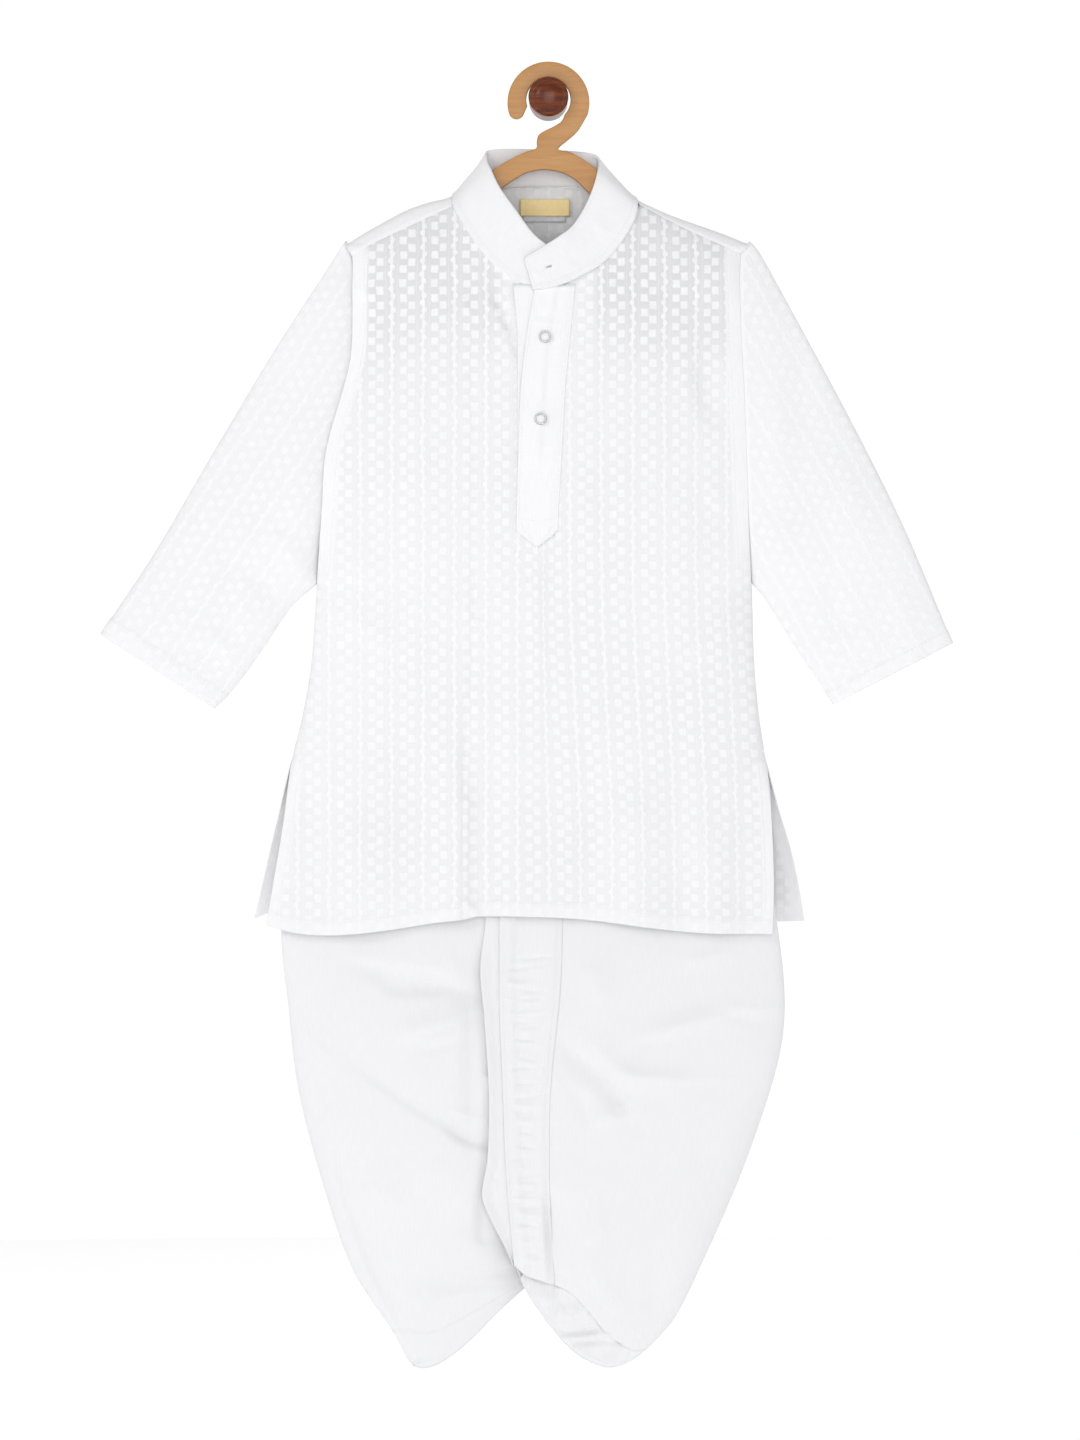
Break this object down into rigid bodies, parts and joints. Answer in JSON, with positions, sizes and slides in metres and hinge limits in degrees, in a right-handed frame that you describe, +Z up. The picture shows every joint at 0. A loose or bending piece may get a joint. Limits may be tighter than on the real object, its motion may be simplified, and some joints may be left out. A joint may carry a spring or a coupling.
{
  "type": "child's kurta and stitched dhoti on a wooden hanger",
  "caption": "Child's white cotton kurta with band collar, snapped placket and long sleeves over a stitched dhoti, flat on a wooden hanger hung from a turned wall knob.",
  "frame": {"origin": "centre of the flat back of the wall knob, on the wall plane", "axes": "+Z up, +Y into the wall, +X to the right of someone facing the wall"},
  "size_m": [0.5974, 0.0601, 0.9153],
  "materials": {
    "dobby_cotton": "white cotton with a woven dobby figure in vertical columns",
    "plain_cotton": "plain white cotton, crisp, with top stitching",
    "dhoti_cotton": "soft plain white cotton, lightly creased",
    "label_satin": "blank gold satin",
    "label_tape": "blank white woven tape",
    "snap_metal": "pressed ring, satin grey",
    "snap_cap": "small white centre",
    "hanger_wood": "varnished tan board with rounded edges",
    "knob_wood": "glossy dark red-brown turned wood"
  },
  "bodies": {
    "root": {"kurta_front": "dobby_cotton", "kurta_back": "dobby_cotton", "kurta_yoke": "dobby_cotton", "sleeve_left": "dobby_cotton", "sleeve_right": "dobby_cotton", "collar": "plain_cotton", "placket_upper": "plain_cotton", "placket_under": "plain_cotton", "dhoti_leg_left": "dhoti_cotton", "dhoti_leg_right": "dhoti_cotton", "dhoti_waistband": "dhoti_cotton", "dhoti_front_band": "dhoti_cotton", "dhoti_pleat_flap": "dhoti_cotton", "dhoti_hem_right": "dhoti_cotton", "neck_label": "label_satin", "size_label": "label_tape", "snap_ring_1": "snap_metal", "snap_ring_2": "snap_metal", "snap_cap_1": "snap_cap", "snap_cap_2": "snap_cap", "hanger": "hanger_wood", "wall_knob": "knob_wood"}
  },
  "joints": []
}
